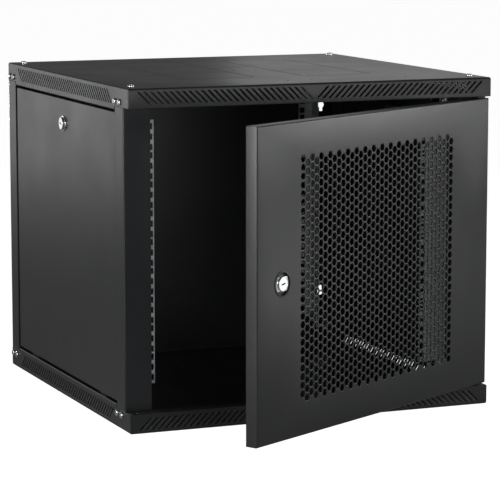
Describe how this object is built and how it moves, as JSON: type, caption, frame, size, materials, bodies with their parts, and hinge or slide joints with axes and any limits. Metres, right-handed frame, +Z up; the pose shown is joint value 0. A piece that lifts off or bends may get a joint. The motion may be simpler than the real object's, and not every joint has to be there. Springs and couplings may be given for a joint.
{
  "type": "wall mount network cabinet",
  "caption": "Wall mount 19-inch equipment cabinet with vented covers, lift-off locked side panels and a hinged perforated door with a cam lock.",
  "frame": {"origin": "centre of the cabinet's underside", "axes": "+X to the right and +Y to the wall side as seen from the door, +Z up"},
  "size_m": [0.6066, 0.8888, 0.5222],
  "materials": {
    "powder_coat": "fine texture black powder coat",
    "galvanised_steel": "galvanised sheet",
    "chrome": "bright nickel chrome plate",
    "zinc_plate": "bright zinc plate",
    "black_plastic": "moulded black nylon"
  },
  "bodies": {
    "cabinet": {"top_cover": "powder_coat", "bottom_cover": "powder_coat", "front_left_post": "powder_coat", "front_right_post": "powder_coat", "rear_left_post": "powder_coat", "rear_right_post": "powder_coat", "upper_left_depth_bar": "powder_coat", "upper_right_depth_bar": "powder_coat", "lower_left_depth_bar": "powder_coat", "lower_right_depth_bar": "powder_coat", "front_left_rail": "galvanised_steel", "front_right_rail": "galvanised_steel", "rear_left_rail": "galvanised_steel", "rear_right_rail": "galvanised_steel", "rear_rail_brackets": "galvanised_steel", "back_panel": "powder_coat", "upper_cover_screws": "chrome", "lower_cover_screws": "chrome", "rail_screws": "zinc_plate", "back_panel_screws": "zinc_plate", "hinge_bushes": "black_plastic"},
    "door": {"door_panel": "powder_coat", "hinge_side_stiffener": "powder_coat", "lock_side_stiffener": "powder_coat", "hinge_pins": "chrome", "door_lock_cup": "black_plastic", "door_lock_barrel": "chrome", "door_lock_clip": "zinc_plate"},
    "door_lock": {"door_lock_plug": "chrome", "door_lock_cam": "zinc_plate"},
    "left_panel": {"left_side_panel": "powder_coat", "left_panel_lock_barrel": "chrome", "left_panel_lock_clip": "zinc_plate"},
    "left_panel_lock": {"left_panel_lock_plug": "chrome", "left_panel_lock_cam": "zinc_plate"},
    "right_panel": {"right_side_panel": "powder_coat", "right_panel_lock_barrel": "chrome", "right_panel_lock_clip": "zinc_plate"},
    "right_panel_lock": {"right_panel_lock_plug": "chrome", "right_panel_lock_cam": "zinc_plate"}
  },
  "joints": [
    {"name": "door_hinge", "type": "hinge", "parent": "cabinet", "child": "door", "pos_m": [0.288, -0.291, 0.2595], "axis": [0, 0, 1], "range_deg": [-29.8, 150.2]},
    {"name": "door_lock_turn", "type": "hinge", "parent": "door", "child": "door_lock", "pos_m": [-0.16441, -0.56047, 0.2595], "axis": [0.497, -0.8678, 0], "range_deg": [0, 90]},
    {"name": "left_panel_pull", "type": "slide", "parent": "cabinet", "child": "left_panel", "axis": [-1, 0, 0], "range_m": [0, 0.08]},
    {"name": "left_panel_lock_turn", "type": "hinge", "parent": "left_panel", "child": "left_panel_lock", "pos_m": [-0.2985, 0.011, 0.441], "axis": [-1, 0, 0], "range_deg": [0, 90]},
    {"name": "right_panel_pull", "type": "slide", "parent": "cabinet", "child": "right_panel", "axis": [1, 0, 0], "range_m": [0, 0.08]},
    {"name": "right_panel_lock_turn", "type": "hinge", "parent": "right_panel", "child": "right_panel_lock", "pos_m": [0.2985, 0.011, 0.441], "axis": [-1, 0, 0], "range_deg": [0, 90]}
  ]
}
